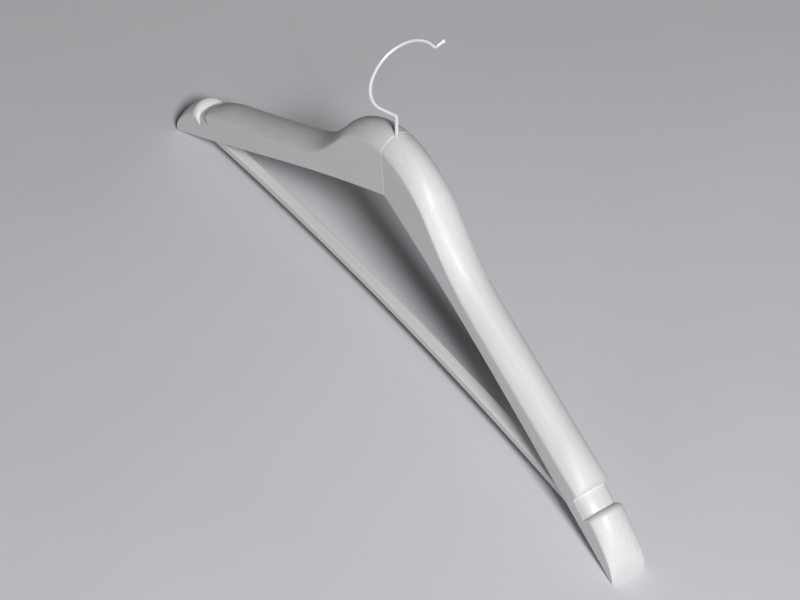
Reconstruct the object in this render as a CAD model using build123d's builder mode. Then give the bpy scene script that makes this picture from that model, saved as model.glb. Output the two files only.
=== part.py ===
from build123d import *
import math
import os

# A wooden shop hanger: two wishbone arms glued on a centre seam, a flat trouser bar between
# them, and a wire hook that swivels in the neck.
#
# Frame: +Z up, +X along the hanger, -Y to the front. The origin is the seat of the hook, the
# point at the top of its inside curve that rests on a rail. Lengths are in millimetres.

# ---------------------------------------------------------------- driving dimensions

overall_length = 445.0
neck_clearance = 107.8      # tips' level up to the lower edge at the seam
dome_height = 148.4         # tips' level up to the top of the neck
dome_radius = 53.5          # front view radius of the neck's dome
dome_flank = 53             # slope of the straight flank that the dome runs into, in degrees
thickness = 22.3            # front to back
plan_bow = 7.8              # how far the tips stand forward of the neck
face_draft = 3.5            # degrees that the faces lean out towards the top
foot_softness = 0.5         # radius along the lower edges of the arms
shoulder_softness = 5.0     # radius between the flat faces and the rounded top

hook_radius = 21.8          # centre line of the wire
wire_diameter = 2.0
bead_diameter = 2.8
hook_centre_height = 188.0  # tips' level up to the centre of the hook's curve
hook_centre_offset = 4.8    # the curve's centre stands this far behind the stem

bar_width = 7.2
bar_height = 5.6
bar_level = 12.2            # tips' level up to the bar's lower face

# ---------------------------------------------------------------- levels and places

half_length = overall_length / 2
wire_radius = wire_diameter / 2
seat_height = hook_centre_height + hook_radius - wire_radius
tips_level = -seat_height
stem_y = -hook_centre_offset

# Every outline below is drawn in planes whose origin is on the stem's axis at the tips' level.
side_view = Plane(origin=(0, stem_y, tips_level), x_dir=(0, 1, 0), z_dir=(1, 0, 0))
plan_view = Plane(origin=(0, stem_y, tips_level))


def section_plane(x):
    """The vertical plane across the hanger at x: local x points back, local y points up."""
    return side_view.offset(x)


def level(height):
    """The horizontal plane this high above the tips, centred on the stem."""
    return plan_view.offset(height)


# ---------------------------------------------------------------- shape of an arm

underside_wave = 0.7        # the lower edge is straight, but for this slight S
face_height_mid = 12.1      # height of the flat front face near the neck end of the arm
face_height_gain = 9.9      # what it gains by the tip
neck_crown = 8.2            # rise of the rounded top above the flat face, at the neck
tip_crown = 8.9             # and near the tip
flank_blend = 6.8           # softness of the dip between the dome's flank and the arm
draft_slope = math.tan(math.radians(face_draft))
neck_front = -8.4           # lower front edge at the seam, from the stem's axis

notch_start = 187.0         # where the clothes notch begins, at the shoulder's level
lip_reach = 24.0            # the top rounds down over this length on each side of that
lip_drop = 4.4              # by this much

end_start = 190.0           # from here the top curves down to the tip
end_face = 2.0              # height left of the flat face at the tip
end_share_left = 0.35       # share of the crown's rise and roundings left there


def underside(x):
    """Height of the lower edge, from the seam down to the tip."""
    straight = neck_clearance * (1 - x / half_length)
    return straight + underside_wave * math.sin(2 * math.pi * x / half_length)


def bow(x):
    """Where the lower front edge is, front to back: the arms sweep forward towards the tips."""
    return neck_front - plan_bow * (x / half_length) ** 2


def dome(x):
    """Shoulder line over the neck: an arc that runs into a straight flank."""
    flank = math.radians(dome_flank)
    reach = dome_radius * math.sin(flank)
    if x < reach:
        arc_height = math.sqrt(dome_radius**2 - x**2)
    else:
        arc_height = dome_radius * math.cos(flank) - (x - reach) * math.tan(flank)
    return dome_height - neck_crown - dome_radius + arc_height


def end_share(x):
    """1 along the arm, then a quarter of an ellipse down to 0 at the tip."""
    run = max(0.0, (x - end_start) / (half_length - end_start))
    return math.sqrt(max(0.0, 1 - run**2))


def narrowing(x):
    """Share of the crown's rise and of the shoulders' rounding that is left at x."""
    return end_share_left + (1 - end_share_left) * end_share(x)


def shoulder(x):
    """Height of the soft edge where the flat faces meet the rounded top."""
    arm = underside(x) + face_height_mid + face_height_gain * (x / half_length) ** 2
    over = (dome(x) - arm) / flank_blend
    line = arm + flank_blend * max(over, 0) + flank_blend * math.log1p(math.exp(-abs(over)))
    return end_face + (line - end_face) * end_share(x)


def crown(x):
    """Rise of the rounded top above the shoulders: it rounds down towards the clothes notch."""
    rise = neck_crown + (tip_crown - neck_crown) * x / half_length
    lip = max(0.0, 1 - abs(x - notch_start) / lip_reach)
    return rise * narrowing(x) - lip_drop * lip**2


crown_angle = 30            # the top is the part of an ellipse above this angle


def crown_arc(x, drop=0.0):
    """The rounded top as an arc of an ellipse, from the front shoulder to the back one."""
    rise = crown(x)
    tall = rise / (1 - math.sin(math.radians(crown_angle)))
    wide = thickness / 2 / math.cos(math.radians(crown_angle))
    face = shoulder(x) - underside(x)
    centre_y = bow(x) - draft_slope * face + thickness / 2
    centre_z = shoulder(x) + rise - tall - drop
    EllipticalCenterArc(
        (centre_y, centre_z), wide, tall, crown_angle, arc_size=180 - 2 * crown_angle
    )


def arm_section(x):
    """Cross-section of the arm at x: flat underside, drafted faces, rounded top."""
    face = shoulder(x) - underside(x)
    front_top = (bow(x) - draft_slope * face, shoulder(x))
    back_top = (front_top[0] + thickness, shoulder(x))
    front_foot = (bow(x), underside(x))
    back_foot = (back_top[0] - draft_slope * face, underside(x))
    with BuildSketch(section_plane(x)) as section:
        with BuildLine():
            Polyline(back_top, back_foot, front_foot, front_top)
            crown_arc(x)
        make_face()
        corners = section.vertices().group_by(Axis.Y)
        fillet(corners[-1], shoulder_softness * narrowing(x))
        fillet(corners[0], foot_softness)
    return section.sketch


neck_stations = [8.0 * i for i in range(11)]
arm_stations = [96.0 + 16.0 * i for i in range(5)] + [164.5 + 4.5 * i for i in range(6)]
end_stations = [
    end_start + (half_length - end_start) * math.sin(math.radians(18 * i)) for i in range(1, 6)
]
stations = neck_stations + arm_stations + end_stations

# ---------------------------------------------------------------- clothes notch

notch_lean = 30             # the notch is cut square to the arm: its walls lean out at the top
notch_end = 198.0           # the tall wall on the tip side, at the shoulder's level
notch_start_depth = 1.5     # from the shoulders down to the floor's edges, at the small step
notch_end_depth = 3.2       # and at the tall wall
notch_start_rise = 4.6      # rise of the floor from its edges to its middle
notch_end_rise = 4.0
notch_lip = 1.0             # rounding of the tall wall's upper edge
wall_limit = 205.0          # that wall lies wholly short of this x
notch_clear = 15.0          # the cut is made this far out past the wood, all round


def notch_section(x, depth, rise):
    """What the notch removes in the leaning plane at x: everything above its cambered floor."""
    front = bow(x) - draft_slope * (shoulder(x) - underside(x))
    back = front + thickness
    plane = Plane(side_view.from_local_coords((0, shoulder(x), x)), x_dir=(0, 1, 0), z_dir=(1, 0, 0))
    plane = plane.rotated((0, notch_lean, 0), ordering=Extrinsic.XYZ)
    with BuildSketch(plane) as section:
        with BuildLine():
            ThreePointArc((front, -depth), ((front + back) / 2, rise - depth), (back, -depth))
            Polyline(
                (back, -depth),
                (back + notch_clear, -depth),
                (back + notch_clear, notch_clear),
                (front - notch_clear, notch_clear),
                (front - notch_clear, -depth),
                (front, -depth),
            )
        make_face()
    return section.sketch


# ---------------------------------------------------------------- neck hardware

stem_foot = 126.0           # lower end of the stem
bore_radius = 1.3           # hole for the stem through the top of the neck
bore_overrun = 5.0          # the bore is cut this far past the top of the neck
running_gap = 0.06          # radial play of the stem in the bush
bush_radius = 2.5
bush_flange_radius = 4.0
bush_flange_foot = 130.2
bush_foot = 131.2
bush_top = 143.0
washer_radius = 3.6
washer_thickness = 0.8
collar_radius = 3.0
collar_height = 2.8
end_play = 0.1              # gap above and below the thrust washer
pocket_radius = 4.4         # round pocket in the neck for the flange, washer and collar
pocket_foot = 124.8

dowel_radius = 2.0
dowel_spread = 5.0          # each dowel's distance from the stem's axis, front and back
dowel_height = 117.0
dowel_length = 36.0
dowel_gap = 0.5             # glue space past each end of a dowel
seam_groove = 0.45          # chamfer round each arm's seam face

washer_foot = bush_flange_foot - end_play - washer_thickness
collar_foot = washer_foot - end_play - collar_height

collar_edge = 0.4           # chamfer round the foot of the collar

# ---------------------------------------------------------------- shape of the hook

flank_angle = 45            # slope of the straight run between the stem and the curve
neck_bend_radius = 4.0      # where the stem bends into that run
mouth_angle = 36            # the curve ends this far above its centre's level, at the mouth
flick_drop = 4.2            # straight run down to the outward flick
flick_length = 5.7
flick_angle = 20            # the flick points this far above level
flick_radius = 2.5

# ---------------------------------------------------------------- trouser bar and its pins

bar_end = 202.0             # the bar's ends are let into the arms up to here
bar_front_inset = 4.6       # from the arms' lower front edge back to the bar's front face
bar_edge = 0.9              # rounding along the bar's edges
pin_radius = 0.6
pin_foot = 12.0             # tips' level up to the pins' lower ends
pin_length = 12.0
pin_run_in = 2.0            # the pins' holes run on this far below them, out of the wood
pin_x = 198.0


def bar_middle(x):
    """Where the middle of the bar is, front to back: it follows the arms' bow."""
    return bow(x) + bar_front_inset + bar_width / 2


pin_y = bar_middle(pin_x)


def pin_outlines(height, radius):
    """Both bar pins seen from above, in a plane this high above the tips."""
    with BuildSketch(level(height)) as outlines:
        with Locations((-pin_x, pin_y), (pin_x, pin_y)):
            Circle(radius)
    return outlines.sketch


with BuildPart() as trouser_bar:
    with BuildLine(level(bar_level + bar_height / 2)) as bar_path:
        ThreePointArc((-bar_end, bar_middle(bar_end)), (0, bar_middle(0)), (bar_end, bar_middle(bar_end)))
    bar_wire = bar_path.wire()
    with BuildSketch(Plane(origin=bar_wire @ 0, x_dir=(0, 0, 1), z_dir=bar_wire % 0)):
        RectangleRounded(bar_height, bar_width, bar_edge)
    sweep(path=bar_wire)
    extrude(pin_outlines(bar_level, pin_radius), amount=bar_height, mode=Mode.SUBTRACT)

with BuildPart() as bar_pins:
    extrude(pin_outlines(pin_foot, pin_radius), amount=pin_length)

# ---------------------------------------------------------------- arms


def stem_disc(height, radius):
    """A disc on the stem's axis, this high above the tips."""
    with BuildSketch(level(height)) as disc:
        Circle(radius)
    return disc.sketch


def dowel_outlines(x):
    """Both dowels seen along the hanger, in the plane across it at x."""
    with BuildSketch(section_plane(x)) as outlines:
        with Locations((-dowel_spread, dowel_height), (dowel_spread, dowel_height)):
            Circle(dowel_radius)
    return outlines.sketch


with BuildPart() as right_arm:
    loft([arm_section(x) for x in stations])

    # clothes notch
    notch_in = notch_section(notch_start, notch_start_depth, notch_start_rise)
    notch_out = notch_section(notch_end, notch_end_depth, notch_end_rise)
    loft([notch_in, notch_out], mode=Mode.SUBTRACT)
    wall_edges = right_arm.edges().filter_by_position(Axis.X, notch_end, wall_limit)
    fillet(wall_edges.sort_by(Axis.X)[-1], notch_lip)

    # groove round the seam
    seam_face = right_arm.faces().sort_by(Axis.X)[0]
    chamfer(seam_face.edges(), seam_groove)

    # this half of the stem's bore, the bush's hole and the pocket under it
    bore_height = dome_height - bush_top + bore_overrun
    extrude(stem_disc(bush_top, bore_radius), amount=bore_height, mode=Mode.SUBTRACT)
    extrude(stem_disc(bush_foot, bush_radius), amount=bush_top - bush_foot, mode=Mode.SUBTRACT)
    pocket_height = bush_foot - pocket_foot
    extrude(stem_disc(pocket_foot, pocket_radius), amount=pocket_height, mode=Mode.SUBTRACT)

    # blind holes for the dowels
    extrude(dowel_outlines(0), amount=dowel_length / 2 + dowel_gap, mode=Mode.SUBTRACT)

    # mortise for the trouser bar, and the hole that its pin is driven through
    add(trouser_bar.part, mode=Mode.SUBTRACT)
    hole_foot = pin_foot - pin_run_in
    extrude(pin_outlines(hole_foot, pin_radius), amount=pin_length + pin_run_in, mode=Mode.SUBTRACT)

with BuildPart() as left_arm:
    mirror(right_arm.part, about=Plane.YZ)

with BuildPart() as dowels:
    extrude(dowel_outlines(-dowel_length / 2), amount=dowel_length)

# ---------------------------------------------------------------- swivel hook

with BuildPart() as swivel_bush:
    extrude(stem_disc(bush_flange_foot, bush_flange_radius), amount=bush_foot - bush_flange_foot)
    extrude(stem_disc(bush_foot, bush_radius), amount=bush_top - bush_foot)
    bush_hole = stem_disc(bush_flange_foot, wire_radius + running_gap)
    extrude(bush_hole, amount=bush_top - bush_flange_foot, mode=Mode.SUBTRACT)

with BuildPart() as thrust_washer:
    extrude(stem_disc(washer_foot, washer_radius), amount=washer_thickness)
    washer_hole = stem_disc(washer_foot, wire_radius + running_gap)
    extrude(washer_hole, amount=washer_thickness, mode=Mode.SUBTRACT)

with BuildPart() as stem_collar:
    extrude(stem_disc(collar_foot, collar_radius), amount=collar_height)
    chamfer(stem_collar.edges().group_by(Axis.Z)[0], collar_edge)
    extrude(stem_disc(collar_foot, wire_radius), amount=collar_height, mode=Mode.SUBTRACT)


def step(start, length, angle):
    """The point this far from start, at an angle above level."""
    turn = math.radians(angle)
    return (start[0] + length * math.cos(turn), start[1] + length * math.sin(turn))


hook_centre = (hook_centre_offset, hook_centre_height)
flank_start = step(hook_centre, hook_radius, 180 + flank_angle)
bend_corner = (0, flank_start[1] + flank_start[0] * math.tan(math.radians(flank_angle)))
mouth_end = step(hook_centre, hook_radius, mouth_angle)
flick_corner = step(mouth_end, flick_drop, mouth_angle - 90)
flick_end = step(flick_corner, flick_length, flick_angle)
curve_sweep = mouth_angle - 180 - flank_angle

with BuildPart() as hook_wire:
    with BuildLine(side_view) as wire_path:
        FilletPolyline((0, stem_foot), bend_corner, flank_start, radius=neck_bend_radius)
        CenterArc(hook_centre, hook_radius, 180 + flank_angle, curve_sweep)
        FilletPolyline(mouth_end, flick_corner, flick_end, radius=flick_radius)
    with BuildSketch(level(stem_foot)):
        Circle(wire_radius)
    sweep(path=wire_path.wire())

with BuildPart() as end_bead:
    with Locations(side_view.from_local_coords(flick_end)):
        Sphere(bead_diameter / 2)
    add(hook_wire.part, mode=Mode.SUBTRACT)

# ---------------------------------------------------------------- files

pieces = {
    "left_arm": left_arm,
    "right_arm": right_arm,
    "seam_dowels": dowels,
    "trouser_bar": trouser_bar,
    "bar_pins": bar_pins,
    "swivel_bush": swivel_bush,
    "thrust_washer": thrust_washer,
    "stem_collar": stem_collar,
    "hook_wire": hook_wire,
    "hook_end_bead": end_bead,
}

os.makedirs("parts", exist_ok=True)
for name, piece in pieces.items():
    piece.part.label = name
    export_step(piece.part, f"parts/{name}.step")
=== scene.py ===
import math

import bpy
import numpy as np
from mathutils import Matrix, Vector


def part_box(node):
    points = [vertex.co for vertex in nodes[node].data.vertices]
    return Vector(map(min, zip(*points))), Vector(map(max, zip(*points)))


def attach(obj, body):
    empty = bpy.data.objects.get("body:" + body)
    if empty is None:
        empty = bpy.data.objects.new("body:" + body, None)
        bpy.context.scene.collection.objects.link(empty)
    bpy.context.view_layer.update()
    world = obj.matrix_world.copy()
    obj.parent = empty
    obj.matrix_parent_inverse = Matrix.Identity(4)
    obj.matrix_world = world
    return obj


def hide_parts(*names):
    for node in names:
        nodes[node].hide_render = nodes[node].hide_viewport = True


# A white-lacquered wooden clothes hanger standing on its tips on a pale floor.
# Metres, in the CAD frame: +Z up, +X along the hanger, -Y to the front, origin at the hook's seat.

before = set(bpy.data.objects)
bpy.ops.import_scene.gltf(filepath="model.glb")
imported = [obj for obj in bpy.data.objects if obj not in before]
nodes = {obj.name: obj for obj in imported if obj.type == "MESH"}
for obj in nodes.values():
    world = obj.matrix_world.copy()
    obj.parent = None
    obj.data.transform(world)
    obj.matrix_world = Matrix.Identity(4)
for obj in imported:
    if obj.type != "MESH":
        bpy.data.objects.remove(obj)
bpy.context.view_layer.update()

MM = 0.001
FULL_TURN = 2 * math.pi

# ---------------------------------------------------------------- places read from the frame

arm_low, arm_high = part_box("right_arm")
bush_low, bush_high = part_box("swivel_bush")
collar_low, collar_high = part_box("stem_collar")
pins_low, pins_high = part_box("bar_pins")

tips_level = arm_low.z
half_length = arm_high.x
stem_y = (bush_low.y + bush_high.y) / 2
neck_top = arm_high.z


# ---------------------------------------------------------------- shape of an arm, in millimetres

# x runs from the seam to the tip, y back from the stem's axis, z up from the tips' level.
LENGTH = half_length / MM
NECK_CLEARANCE = 107.8       # tips' level up to the underside at the seam
DOME_HEIGHT = (neck_top - tips_level) / MM - 0.35   # the arm's line lifts the dome by this much
DOME_RADIUS = 53.5
DOME_FLANK = math.radians(53)       # where the dome's arc turns into its straight flank
THICKNESS = 22.3
PLAN_BOW = 7.8               # the tips stand this far in front of the neck
DRAFT = math.tan(math.radians(3.5))   # the faces come closer together downwards
UNDERSIDE_WAVE = 0.7         # rise of the underside near the neck and sag near the tip
FACE_HEIGHT = 12.1           # height of the arm's flat faces at the seam, without the dome
FACE_GAIN = 9.9              # how much taller they get towards the tip
NECK_CROWN = 8.2             # rise of the rounded top at the seam
TIP_CROWN = 8.9              # and at the tip
FLANK_BLEND = 6.8            # softness of the valley between the dome and the arm
NECK_FRONT = -8.4            # front of the neck, from the stem's axis
CROWN_ANGLE = math.radians(30)      # how steeply the rounded top meets a face

END_START = 190.0            # the arm rounds down to its tip from here
END_FACE = 2.0               # height of the shoulder at the tip
END_SHARE_LEFT = 0.35        # share of the crown's rise that is left there

NOTCH_START = 187.0          # the small step, on the neck's side of the notch
NOTCH_END = 198.0            # the tall wall, on the tip's side
NOTCH_LEAN = 30.0            # degrees that the notch's walls lean out at the top
NOTCH_DEPTHS = (2.1, 3.3)    # shoulders down to the floor's edges, at the step and at the wall
NOTCH_RISES = (4.6, 4.0)     # rise of the floor to its middle, at the step and at the wall
STEP_ROUND = 0.5             # rounding of the small step's upper edge
WALL_ROUND = 3.2             # rounding of the tall wall's upper edge
CORNER_ROUND = 0.9           # rounding between the floor and the tall wall
EDGE_REACH = 4.6             # the floor rolls over the faces: this far in from them
EDGE_FALL = 7.5              # and this far down
LIP_REACH = 24.0             # the rounded top comes down to the notch over this length
LIP_FLAT = 3.5               # stays down for this much
LIP_DROP = 4.4               # and is lower by this much there

SHOULDER_CUT = 1.5           # the shoulder's rounding starts this far down the face
SHOULDER_TURN = math.radians(5.5)   # and ends this far round the crown
CROWN_EDGE = math.cos(CROWN_ANGLE + SHOULDER_TURN) / math.cos(CROWN_ANGLE)   # 1 is the face
FOOT_CUT = 0.55              # rounding along the lower edges
SEAM_GROOVE = 0.3            # chamfer beside the seam
TIP_BEVEL = 0.5              # rounding round the end face

LEAN_START = 145.0           # the cross-sections lean out more and more from here
LEAN_FULL = 182.0            # to here
LEAN_BACK = 205.0            # and stand up again from here to the tip
LEAN_ROUNDS = 14             # rounds in which a leaning section's points settle
FACE_GRIP = 6                # a higher power slides fewer points along with the faces

# Holes for the metal parts.
POCKET_RADIUS = 4.4 * MM
POCKET_BELOW = 1.6 * MM      # the pocket goes on this far under the collar
FLANGE_HEIGHT = 1.0 * MM
BUSH_RADIUS = 2.5 * MM
BORE_RADIUS = 1.3 * MM
BORE_OVERRUN = 5 * MM
PIN_HOLE_BELOW = 3 * MM      # the pins' holes run on this far below them, out of the wood


def underside(x):
    return NECK_CLEARANCE * (1 - x / LENGTH) + UNDERSIDE_WAVE * np.sin(2 * np.pi * x / LENGTH)


def bow(x):
    return NECK_FRONT - PLAN_BOW * (x / LENGTH) ** 2


def dome(x):
    """Shoulder line over the neck: an arc that runs into a straight flank."""
    reach = DOME_RADIUS * math.sin(DOME_FLANK)
    arc = np.sqrt(np.maximum(DOME_RADIUS**2 - x**2, 0))
    flank = DOME_RADIUS * math.cos(DOME_FLANK) - (x - reach) * math.tan(DOME_FLANK)
    return DOME_HEIGHT - NECK_CROWN - DOME_RADIUS + np.where(x < reach, arc, flank)


def end_share(x):
    """1 along the arm, then a quarter of an ellipse down to 0 at the tip."""
    run = np.clip((x - END_START) / (LENGTH - END_START), 0, 1)
    return np.sqrt(1 - run**2)


def narrowing(x):
    return END_SHARE_LEFT + (1 - END_SHARE_LEFT) * end_share(x)


def shoulder(x):
    """Height of the soft edge where the flat faces meet the rounded top."""
    arm = underside(x) + FACE_HEIGHT + FACE_GAIN * (x / LENGTH) ** 2
    line = FLANK_BLEND * np.logaddexp(arm / FLANK_BLEND, dome(x) / FLANK_BLEND)
    return END_FACE + (line - END_FACE) * end_share(x)


def crown(x):
    """Rise of the rounded top: it rounds down towards the clothes notch."""
    rise = NECK_CROWN + (TIP_CROWN - NECK_CROWN) * x / LENGTH
    inside = (NOTCH_START - x) / LIP_REACH
    outside = (x - NOTCH_START - LIP_FLAT) / (LIP_REACH - LIP_FLAT)
    lip = np.clip(1 - np.maximum(inside, outside), 0, 1)
    return rise * narrowing(x) - LIP_DROP * lip**2


def front_shoulder(x):
    return bow(x) - DRAFT * (shoulder(x) - underside(x))


def face_y(x, z, side):
    """Where the flat face in front (side -1) or behind (side 1) stands at this height, as y."""
    front = bow(x) - DRAFT * (z - underside(x))
    tallest = DRAFT * (shoulder(x) - underside(x))
    back = bow(x) + THICKNESS - 2 * tallest + DRAFT * (z - underside(x))
    return front if side < 0 else back


def between(first, second, share):
    """The point this share of the way from first to second. Points are (y, z) pairs."""
    return tuple(a + (b - a) * share for a, b in zip(first, second))


def apart(first, second):
    return np.hypot(second[0] - first[0], second[1] - first[1])


def towards(first, second, distance):
    """The point this far from first on the way to second."""
    return between(first, second, distance / apart(first, second))


def rounded(before, corner, after, share):
    """A quadratic curve from before to after that rounds the corner."""
    return between(between(before, corner, share), between(corner, after, share), share)


def section(x, side, stretch, share):
    """A point of the cross-section at x, as (y, z). side is -1 in front and 1 behind."""
    mid = front_shoulder(x) + THICKNESS / 2
    front_foot = bow(x)
    back_foot = front_foot + THICKNESS - 2 * DRAFT * (shoulder(x) - underside(x))
    bottom = ((front_foot + back_foot) / 2, underside(x))
    foot = (front_foot if side < 0 else back_foot, underside(x))
    top = (mid + side * THICKNESS / 2, shoulder(x))
    tall = crown(x) / (1 - math.sin(CROWN_ANGLE))
    wide = THICKNESS / 2 / math.cos(CROWN_ANGLE)
    centre_z = shoulder(x) + crown(x) - tall
    first_turn = CROWN_ANGLE + SHOULDER_TURN

    def crown_point(turn):
        return (mid + side * wide * math.cos(turn), centre_z + tall * math.sin(turn))

    cut = SHOULDER_CUT * narrowing(x)
    if stretch == "bottom":
        return between(bottom, towards(foot, bottom, FOOT_CUT), share)
    if stretch == "foot":
        return rounded(towards(foot, bottom, FOOT_CUT), foot, towards(foot, top, FOOT_CUT), share)
    if stretch == "face":
        return between(towards(foot, top, FOOT_CUT), towards(top, foot, cut), share)
    if stretch == "shoulder":
        return rounded(towards(top, foot, cut), top, crown_point(first_turn), share)
    return crown_point(first_turn + (math.pi / 2 - first_turn) * share)


# The stretches of half a section, from below round to the top, and how many points each has.
STRETCHES = (("bottom", 4), ("foot", 4), ("face", 9), ("shoulder", 8), ("crown", 22))


def ring_places():
    """Every point round a section, as (side, stretch, share), from below round the front."""
    half = [(stretch, i / count) for stretch, count in STRETCHES for i in range(count)]
    front = [(-1, stretch, share) for stretch, share in half]
    back = [(1, stretch, share) for stretch, share in half[1:]]
    return front + [(1, "crown", 1.0)] + back[::-1]


def smooth(value, start, end):
    """0 before start, 1 after end, and a soft step between."""
    run = np.clip((value - start) / (end - start), 0, 1)
    return run * run * (3 - 2 * run)


def lean(x):
    """Sections lean out by this angle: upright at the neck and the tip, square to the arm between."""
    share = smooth(x, LEAN_START, LEAN_FULL) * (1 - smooth(x, LEAN_BACK, LENGTH))
    return math.radians(NOTCH_LEAN) * share


def quarter(share):
    """1 at share 0, falling steeply and then levelling out to 0 at share 1."""
    return 1 - np.sqrt(1 - (1 - np.clip(share, 0, 1)) ** 2)


def notch_floor(x, across):
    """Height of the notch's floor over the shoulder; across is 0 in the middle and 1 at a face."""
    share = np.clip((x - NOTCH_START) / (NOTCH_END - NOTCH_START), 0, 1)
    depth = NOTCH_DEPTHS[0] + (NOTCH_DEPTHS[1] - NOTCH_DEPTHS[0]) * share
    rise = NOTCH_RISES[0] + (NOTCH_RISES[1] - NOTCH_RISES[0]) * share
    corner = CORNER_ROUND * quarter((NOTCH_END - x) / CORNER_ROUND)
    reach = EDGE_REACH / (THICKNESS / 2)
    edge = np.clip((across - 1 + reach) / reach, 0, 1)
    return rise * (1 - across**2) - depth + corner - EDGE_FALL * quarter(1 - edge)


def notch_drop(x, stretch, share, across, height):
    """How far the notch lowers a point that stands at this height over the shoulder."""
    if stretch in ("bottom", "foot"):
        return np.zeros_like(x)
    into_step = quarter((NOTCH_START - x) / STEP_ROUND)
    into_wall = quarter((x - NOTCH_END) / WALL_ROUND)
    mask = np.where(x < NOTCH_START, into_step, np.where(x > NOTCH_END, into_wall, 1))
    if stretch == "face":
        return share * mask * np.maximum(0, -SHOULDER_CUT * narrowing(x) - notch_floor(x, 1.0))
    return mask * np.maximum(0, height - notch_floor(x, across))


def stations():
    """Places along the arm of its cross-sections, closer together where the shape turns fast."""
    after_groove = 1.0
    dome_end = 90
    notch_near = 160
    past_step = NOTCH_START + 0.05
    turn = np.radians(np.linspace(0, 90, 10))
    wall_turn = np.radians(np.linspace(3, 90, 14))
    end_turn = np.radians(np.linspace(22, 90, 30))
    wall = NOTCH_END + WALL_ROUND * (1 - np.cos(wall_turn))
    tip = END_START + (LENGTH - END_START) * np.sin(end_turn)
    return np.unique(np.round(np.concatenate([
        SEAM_GROOVE * np.array([0, 0.3, 0.6, 1.0]),
        np.arange(after_groove, dome_end, 1.0),
        np.arange(dome_end, notch_near, 2.0),
        np.arange(notch_near, NOTCH_START - STEP_ROUND, 1.0),
        NOTCH_START - STEP_ROUND * np.sin(turn),
        np.linspace(past_step, NOTCH_END - CORNER_ROUND, 16),
        NOTCH_END - CORNER_ROUND * np.sin(turn),
        wall,
        tip[tip > wall[-1]],
    ]), 4))


def inset(points, distance):
    """Moves a ring of points inwards in its own upright plane."""
    along = np.roll(points, -1, axis=0) - np.roll(points, 1, axis=0)
    length = np.hypot(along[:, 1], along[:, 2])
    normals = np.stack([np.zeros(len(points)), -along[:, 2], along[:, 1]], axis=1) / length[:, None]
    centre = points.mean(axis=0)
    point_outwards = (normals * (points - centre)).sum() > 0
    return points + normals * distance * (-1 if point_outwards else 1)


def arm_rings():
    """The arm's surface as an array of rings: one at each station, of the same points."""
    along = stations()
    places = ring_places()
    rings = np.zeros((len(along), len(places), 3))
    tilt = np.tan(lean(along))
    for i, (side, stretch, share) in enumerate(places):
        x = along.copy()
        for _ in range(LEAN_ROUNDS):
            y, z = section(x, side, stretch, share)
            x = np.clip(along + (z - shoulder(along)) * tilt, 0, LENGTH)
        y, z = section(x, side, stretch, share)
        height = (z - shoulder(along)) / np.cos(lean(along))
        across = np.ones_like(x)
        if stretch == "shoulder":
            across = across - share * (1 - CROWN_EDGE)
        if stretch == "crown":
            across = np.abs(y - front_shoulder(along) - THICKNESS / 2) / (THICKNESS / 2)
        drop = notch_drop(along, stretch, share, across, height)
        new_x = x - drop * np.sin(lean(along))
        new_z = z - drop * np.cos(lean(along))
        slide = (face_y(new_x, new_z, side) - face_y(x, z, side)) * across**FACE_GRIP
        rings[:, i] = np.stack([new_x, y + slide, new_z], axis=1)
    for i, x in enumerate(along):
        if x < SEAM_GROOVE:
            rings[i] = inset(rings[i], SEAM_GROOVE - x)
    rings[-1] = inset(rings[-1], TIP_BEVEL)
    return rings


def mesh_object(name, vertices, faces):
    mesh = bpy.data.meshes.new(name)
    mesh.from_pydata([tuple(v) for v in vertices], [], faces)
    mesh.validate()
    made = bpy.data.objects.new(name, mesh)
    bpy.context.scene.collection.objects.link(made)
    return made


def in_frame(points):
    """Points in the arm's millimetres become points of the CAD frame in metres."""
    return np.asarray(points) * MM + np.array([0, stem_y, tips_level])


def arm(name, side):
    """One arm: rings joined by four-sided faces, closed at the seam and at the tip."""
    rings = arm_rings()
    count, around = rings.shape[:2]
    points = rings.reshape(-1, 3) * np.array([side, 1, 1])
    faces = []
    for i in range(count - 1):
        for j in range(around):
            k = (j + 1) % around
            face = (i * around + j, i * around + k, (i + 1) * around + k, (i + 1) * around + j)
            faces.append(face)
    faces.append(tuple(range(around))[::-1])
    faces.append(tuple((count - 1) * around + j for j in range(around)))
    if side > 0:
        faces = [face[::-1] for face in faces]
    return mesh_object(name, in_frame(points), faces)


def lathe(name, outline, centre, count):
    """A closed solid with this many sides, turned about an upright axis through centre.
    The outline is (radius, height) pairs in metres, from the foot up."""
    vertices = [(centre[0], centre[1], outline[0][1]), (centre[0], centre[1], outline[-1][1])]
    for radius, height in outline:
        for i in range(count):
            turn = FULL_TURN * i / count
            x = centre[0] + radius * math.cos(turn)
            y = centre[1] + radius * math.sin(turn)
            vertices.append((x, y, height))
    faces = []
    for i in range(count):
        k = (i + 1) % count
        faces.append((0, 2 + k, 2 + i))
        last = 2 + (len(outline) - 1) * count
        faces.append((1, last + i, last + k))
        for ring in range(len(outline) - 1):
            low = 2 + ring * count
            high = low + count
            faces.append((low + i, low + k, high + k, high + i))
    return mesh_object(name, vertices, faces)


def drill(piece, cutter):
    """Takes the cutter's shape out of a piece for good."""
    cut = piece.modifiers.new("cut", "BOOLEAN")
    cut.operation = "DIFFERENCE"
    cut.solver = "EXACT"
    cut.object = cutter
    bpy.context.view_layer.update()
    graph = bpy.context.evaluated_depsgraph_get()
    result = bpy.data.meshes.new_from_object(piece.evaluated_get(graph))
    piece.modifiers.clear()
    piece.data = result
    bpy.data.objects.remove(cutter)


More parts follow.
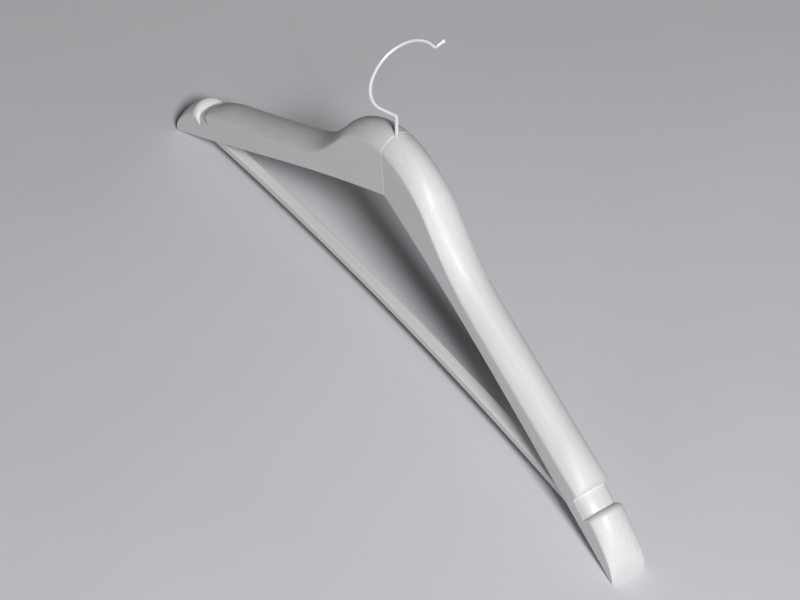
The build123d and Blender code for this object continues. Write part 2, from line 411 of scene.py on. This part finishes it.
def stem_hole():
    """The bore for the stem, the bush's hole and the pocket for the washer and collar."""
    pocket_foot = collar_low.z - POCKET_BELOW
    pocket_top = bush_low.z + FLANGE_HEIGHT
    return lathe("stem_hole", [
        (POCKET_RADIUS, pocket_foot),
        (POCKET_RADIUS, pocket_top),
        (BUSH_RADIUS, pocket_top),
        (BUSH_RADIUS, bush_high.z),
        (BORE_RADIUS, bush_high.z),
        (BORE_RADIUS, neck_top + BORE_OVERRUN),
    ], (0, stem_y), count=48)


def pin_hole(side):
    """The hole that one of the trouser bar's pins is driven into, from below."""
    radius = (pins_high.y - pins_low.y) / 2
    centre = (side * (pins_high.x - radius), (pins_low.y + pins_high.y) / 2)
    outline = [(radius, pins_low.z - PIN_HOLE_BELOW), (radius, pins_high.z)]
    return lathe("pin_hole", outline, centre, count=24)


# ---------------------------------------------------------------- material helpers

class Maker:
    """Adds nodes to one material and wires them up."""

    def __init__(self, name):
        self.material = bpy.data.materials.new(name)
        self.material.use_nodes = True
        self.tree = self.material.node_tree
        self.shader = self.tree.nodes["Principled BSDF"]

    def node(self, kind, **settings):
        made = self.tree.nodes.new(kind)
        for key, value in settings.items():
            setattr(made, key, value)
        return made

    def link(self, source, target):
        self.tree.links.new(source, target)

    def place(self, scale=(1, 1, 1), slope=0.0):
        """Object coordinates, turned so that x runs down a slope, then scaled."""
        coordinates = self.node("ShaderNodeTexCoord")
        turned = self.node("ShaderNodeMapping")
        turned.inputs["Rotation"].default_value = (0, slope, 0)
        self.link(coordinates.outputs["Object"], turned.inputs["Vector"])
        scaled = self.node("ShaderNodeMapping")
        scaled.inputs["Scale"].default_value = scale
        self.link(turned.outputs["Vector"], scaled.inputs["Vector"])
        return scaled.outputs["Vector"]

    def noise(self, vector, scale, detail=3.0, roughness=0.5):
        made = self.node("ShaderNodeTexNoise")
        made.inputs["Scale"].default_value = scale
        made.inputs["Detail"].default_value = detail
        made.inputs["Roughness"].default_value = roughness
        self.link(vector, made.inputs["Vector"])
        return made.outputs["Fac"]

    def ramp(self, value, low, high, stops=(0.0, 1.0)):
        """value between stops becomes a colour between low and high."""
        made = self.node("ShaderNodeValToRGB")
        made.color_ramp.elements[0].position = stops[0]
        made.color_ramp.elements[1].position = stops[1]
        made.color_ramp.elements[0].color = (*low, 1)
        made.color_ramp.elements[1].color = (*high, 1)
        self.link(value, made.inputs["Fac"])
        return made.outputs["Color"]

    def spread(self, value, low, high, from_low=0.0, from_high=1.0):
        """value between from_low and from_high becomes a number between low and high."""
        made = self.node("ShaderNodeMapRange")
        made.inputs["From Min"].default_value = from_low
        made.inputs["From Max"].default_value = from_high
        made.inputs["To Min"].default_value = low
        made.inputs["To Max"].default_value = high
        self.link(value, made.inputs["Value"])
        return made.outputs["Result"]

    def mix(self, factor, first, second):
        """The colour this share of the way from first to second."""
        made = self.node("ShaderNodeMix", data_type="RGBA")
        self.link(factor, made.inputs["Factor"])
        self.link(first, made.inputs["A"])
        self.link(second, made.inputs["B"])
        return made.outputs["Result"]

    def bump(self, height, distance, strength=1.0, under=None):
        made = self.node("ShaderNodeBump")
        made.inputs["Distance"].default_value = distance
        made.inputs["Strength"].default_value = strength
        self.link(height, made.inputs["Height"])
        if under is not None:
            self.link(under, made.inputs["Normal"])
        return made.outputs["Normal"]

    def product(self, first, second):
        made = self.node("ShaderNodeMath", operation="MULTIPLY")
        self.link(first, made.inputs[0])
        self.link(second, made.inputs[1])
        return made.outputs["Value"]

    def colour(self, value):
        made = self.node("ShaderNodeRGB")
        made.outputs["Color"].default_value = (*value, 1)
        return made.outputs["Color"]

    def set(self, name, value):
        """Gives the shader's input a number, or links it to an output."""
        socket = self.shader.inputs[name]
        if isinstance(value, bpy.types.NodeSocket):
            self.link(value, socket)
        else:
            socket.default_value = value


def lacquered_wood(name, slope):
    """White satin lacquer over beech. The grain, which runs along the slope, shows as faint
    streaks and pores, and the lacquer has thinned and yellowed a little on the edges."""
    m = Maker(name)
    along_grain = m.place(scale=(3.0, 60.0, 60.0), slope=slope)
    streaks = m.noise(along_grain, scale=9.0, detail=5.0, roughness=0.6)
    lacquer = m.ramp(streaks, (0.772, 0.770, 0.765), (0.818, 0.818, 0.816), stops=(0.35, 0.65))
    pointiness = m.node("ShaderNodeNewGeometry").outputs["Pointiness"]
    edge = m.spread(pointiness, low=0.0, high=1.0, from_low=0.53, from_high=0.62)
    patches = m.noise(m.place(), scale=90.0, detail=4.0)
    wear = m.spread(patches, low=0.0, high=0.45, from_low=0.45, from_high=0.65)
    yellowed = m.colour((0.66, 0.61, 0.53))
    m.set("Base Color", m.mix(m.product(edge, wear), lacquer, yellowed))
    mottle = m.noise(m.place(), scale=60.0, detail=4.0)
    m.set("Roughness", m.spread(mottle, low=0.42, high=0.54, from_low=0.3, from_high=0.7))
    fine_grain = m.place(scale=(6.0, 110.0, 110.0), slope=slope)
    pores = m.noise(fine_grain, scale=14.0, detail=3.0, roughness=0.65)
    grain = m.bump(pores, distance=0.00006, strength=0.35)
    peel = m.noise(m.place(), scale=420.0, detail=2.0)
    m.set("Normal", m.bump(peel, distance=0.00003, strength=0.25, under=grain))
    m.set("Coat Weight", 0.12)
    m.set("Coat Roughness", 0.3)
    m.set("Specular IOR Level", 0.4)
    return m.material


def bare_beech():
    m = Maker("beech")
    streaks = m.noise(m.place(scale=(1.0, 12.0, 12.0)), scale=60.0, detail=5.0, roughness=0.6)
    m.set("Base Color", m.ramp(streaks, (0.55, 0.36, 0.21), (0.74, 0.55, 0.37), stops=(0.3, 0.7)))
    m.set("Roughness", m.spread(streaks, low=0.5, high=0.7))
    m.set("Normal", m.bump(streaks, distance=0.0001, strength=0.4))
    return m.material


def drawn_steel():
    """The hook's bright wire, with fine drawing lines along it."""
    m = Maker("hook_steel")
    lines = m.noise(m.place(scale=(40.0, 6.0, 6.0)), scale=300.0, detail=4.0, roughness=0.6)
    m.set("Base Color", m.ramp(lines, (0.90, 0.92, 0.96), (0.95, 0.96, 0.985), stops=(0.3, 0.7)))
    m.set("Metallic", 0.3)
    m.set("Roughness", m.spread(lines, low=0.26, high=0.4))
    m.set("Normal", m.bump(lines, distance=0.00002, strength=0.3))
    return m.material


def plated_steel():
    m = Maker("zinc_plate")
    mottle = m.noise(m.place(), scale=900.0, detail=4.0, roughness=0.6)
    m.set("Base Color", m.ramp(mottle, (0.52, 0.52, 0.53), (0.68, 0.68, 0.69), stops=(0.3, 0.7)))
    m.set("Metallic", 1.0)
    m.set("Roughness", m.spread(mottle, low=0.3, high=0.5))
    m.set("Normal", m.bump(mottle, distance=0.00002, strength=0.4))
    return m.material


def turned_brass():
    m = Maker("turned_brass")
    rings = m.noise(m.place(scale=(1.0, 1.0, 40.0)), scale=400.0, detail=2.0)
    m.set("Base Color", m.ramp(rings, (0.70, 0.52, 0.25), (0.82, 0.65, 0.36), stops=(0.3, 0.7)))
    m.set("Metallic", 1.0)
    m.set("Roughness", m.spread(rings, low=0.25, high=0.4))
    m.set("Normal", m.bump(rings, distance=0.00002, strength=0.4))
    return m.material


def floor_paint():
    m = Maker("pale_floor")
    mottle = m.noise(m.place(), scale=6.0, detail=4.0)
    m.set("Base Color", m.ramp(mottle, (0.70, 0.71, 0.73), (0.73, 0.74, 0.76), stops=(0.3, 0.7)))
    m.set("Roughness", 0.85)
    return m.material


def dress(node, material):
    """Gives a CAD node a better material, in its own slots."""
    for slot in nodes[node].material_slots:
        slot.material = material


# ---------------------------------------------------------------- pieces

ARM_SLOPE = math.atan2(NECK_CLEARANCE, LENGTH)
SHARP_ANGLE = math.radians(40)      # edges sharper than this aren't shaded smooth

for name, side in (("left_arm", -1), ("right_arm", 1)):
    wood = arm(name + "_wood", side)
    drill(wood, stem_hole())
    drill(wood, pin_hole(side))
    wood.data.materials.append(lacquered_wood(name + "_lacquer", -side * ARM_SLOPE))
    wood.data.polygons.foreach_set("use_smooth", [True] * len(wood.data.polygons))
    wood.data.set_sharp_from_angle(angle=SHARP_ANGLE)
    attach(wood, "hanger")
    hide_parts(name)

dress("trouser_bar", lacquered_wood("bar_lacquer", 0.0))
dress("seam_dowels", bare_beech())
zinc = plated_steel()
dress("bar_pins", zinc)
dress("thrust_washer", zinc)
dress("stem_collar", zinc)
dress("swivel_bush", turned_brass())
steel = drawn_steel()
dress("hook_wire", steel)
dress("hook_end_bead", steel)

# ---------------------------------------------------------------- floor, lights, camera

FLOOR_REACH = 6.0
FLOOR_GAP = 0.0002           # keeps the floor just clear of the tips
LIGHT_DISTANCE = 2.6
AIM_HEIGHT = 0.07            # the lights look at a point this far over the floor

floor_mesh = bpy.data.meshes.new("floor")
floor_mesh.from_pydata(
    [
        (-FLOOR_REACH, -FLOOR_REACH, 0),
        (FLOOR_REACH, -FLOOR_REACH, 0),
        (FLOOR_REACH, FLOOR_REACH, 0),
        (-FLOOR_REACH, FLOOR_REACH, 0),
    ],
    [],
    [(0, 1, 2, 3)],
)
floor = bpy.data.objects.new("floor", floor_mesh)
floor.location.z = tips_level - FLOOR_GAP
floor.data.materials.append(floor_paint())
bpy.context.scene.collection.objects.link(floor)


def softbox(name, direction, size, power):
    """A square area light that looks at the hanger from this direction."""
    target = Vector((0, stem_y, tips_level + AIM_HEIGHT))
    light = bpy.data.lights.new(name, "AREA")
    light.shape = "SQUARE"
    light.size = size
    light.energy = power
    lamp = bpy.data.objects.new(name, light)
    lamp.location = target + Vector(direction).normalized() * LIGHT_DISTANCE
    lamp.rotation_euler = (target - lamp.location).to_track_quat("-Z", "Y").to_euler()
    bpy.context.scene.collection.objects.link(lamp)


softbox("key", direction=(0.70, -0.25, 0.67), size=0.45, power=58)
softbox("front", direction=(0.30, -0.88, 0.36), size=0.9, power=2)

world = bpy.data.worlds.new("studio")
world.use_nodes = True
background = world.node_tree.nodes["Background"]
background.inputs["Color"].default_value = (0.9, 0.95, 1.0, 1)
background.inputs["Strength"].default_value = 0.04
bpy.context.scene.world = world
bpy.context.scene.view_settings.view_transform = "Standard"

# The camera stands to the right of the front and above, and looks down at the hanger.
CAMERA_AZIMUTH = math.radians(55.04)        # round from the front to the right
CAMERA_ELEVATION = math.radians(45.41)
CAMERA_PLACE = Vector((0.7767, -0.5408, 0.9808))   # from the foot of the stem's axis

camera_data = bpy.data.cameras.new("camera")
camera_data.lens = 104.3
camera_data.sensor_width = 36
camera_data.clip_end = 20
camera = bpy.data.objects.new("camera", camera_data)
backwards = Vector((
    math.sin(CAMERA_AZIMUTH) * math.cos(CAMERA_ELEVATION),
    -math.cos(CAMERA_AZIMUTH) * math.cos(CAMERA_ELEVATION),
    math.sin(CAMERA_ELEVATION),
))
camera.location = Vector((0, stem_y, tips_level)) + CAMERA_PLACE
camera.rotation_euler = backwards.to_track_quat("Z", "Y").to_euler()
bpy.context.scene.collection.objects.link(camera)
bpy.context.scene.camera = camera
